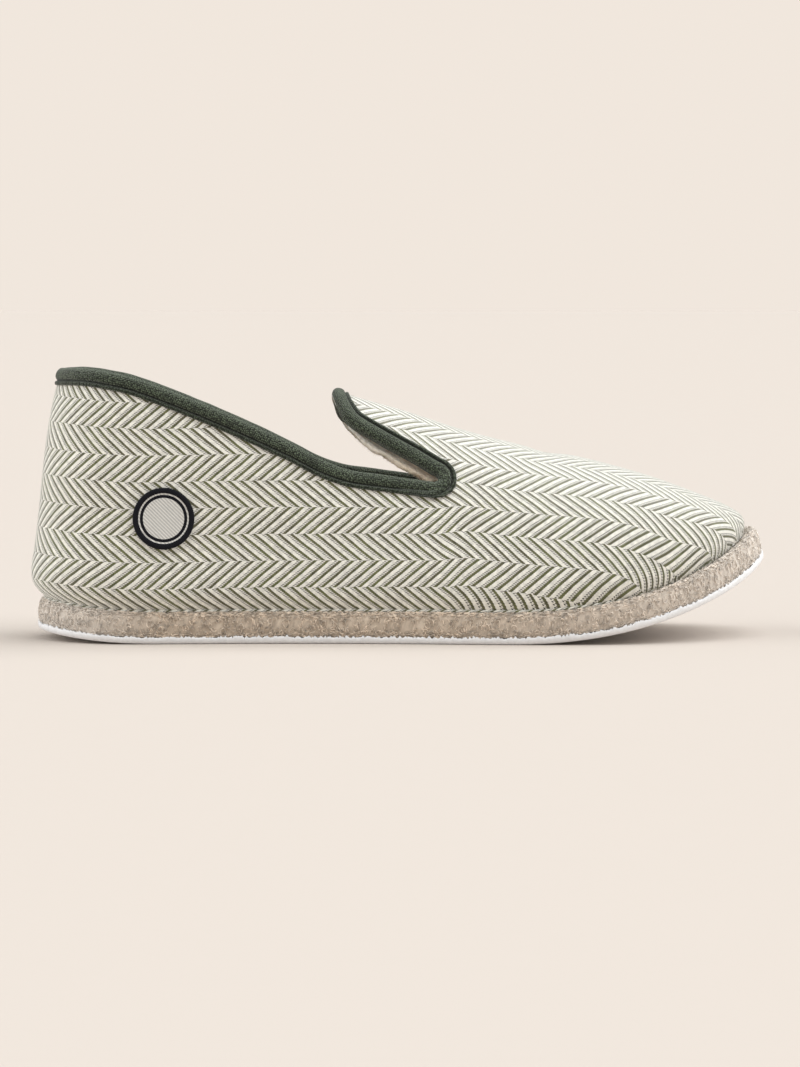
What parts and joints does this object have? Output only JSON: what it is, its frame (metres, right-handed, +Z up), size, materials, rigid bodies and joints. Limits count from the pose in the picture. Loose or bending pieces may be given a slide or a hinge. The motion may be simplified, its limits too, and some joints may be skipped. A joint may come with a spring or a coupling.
{
  "type": "house slipper",
  "caption": "Low house slipper for the right foot: herringbone cloth upper with a high peaked vamp, taped collar, thick felt sole with toe spring and a thin rubber ground sole.",
  "frame": {"origin": "on the floor under the middle of the slipper's box", "axes": "+X to the toe, +Y to the inner side of the foot, +Z up"},
  "size_m": [0.2836, 0.1018, 0.1038],
  "materials": {
    "white_rubber": "matt, slightly rough white rubber",
    "wool_felt": "thick looped grey-beige wool felt",
    "lining_felt": "soft cream felt",
    "herringbone_cloth": "cream and olive herringbone cloth, matt",
    "woven_tape": "dark green woven tape, matt",
    "woven_patch": "dark and pale woven patch, matt"
  },
  "bodies": {
    "root": {"outsole": "white_rubber", "felt_midsole": "wool_felt", "insole": "lining_felt", "upper": "herringbone_cloth", "collar_binding": "woven_tape", "side_patch": "woven_patch"}
  },
  "joints": []
}
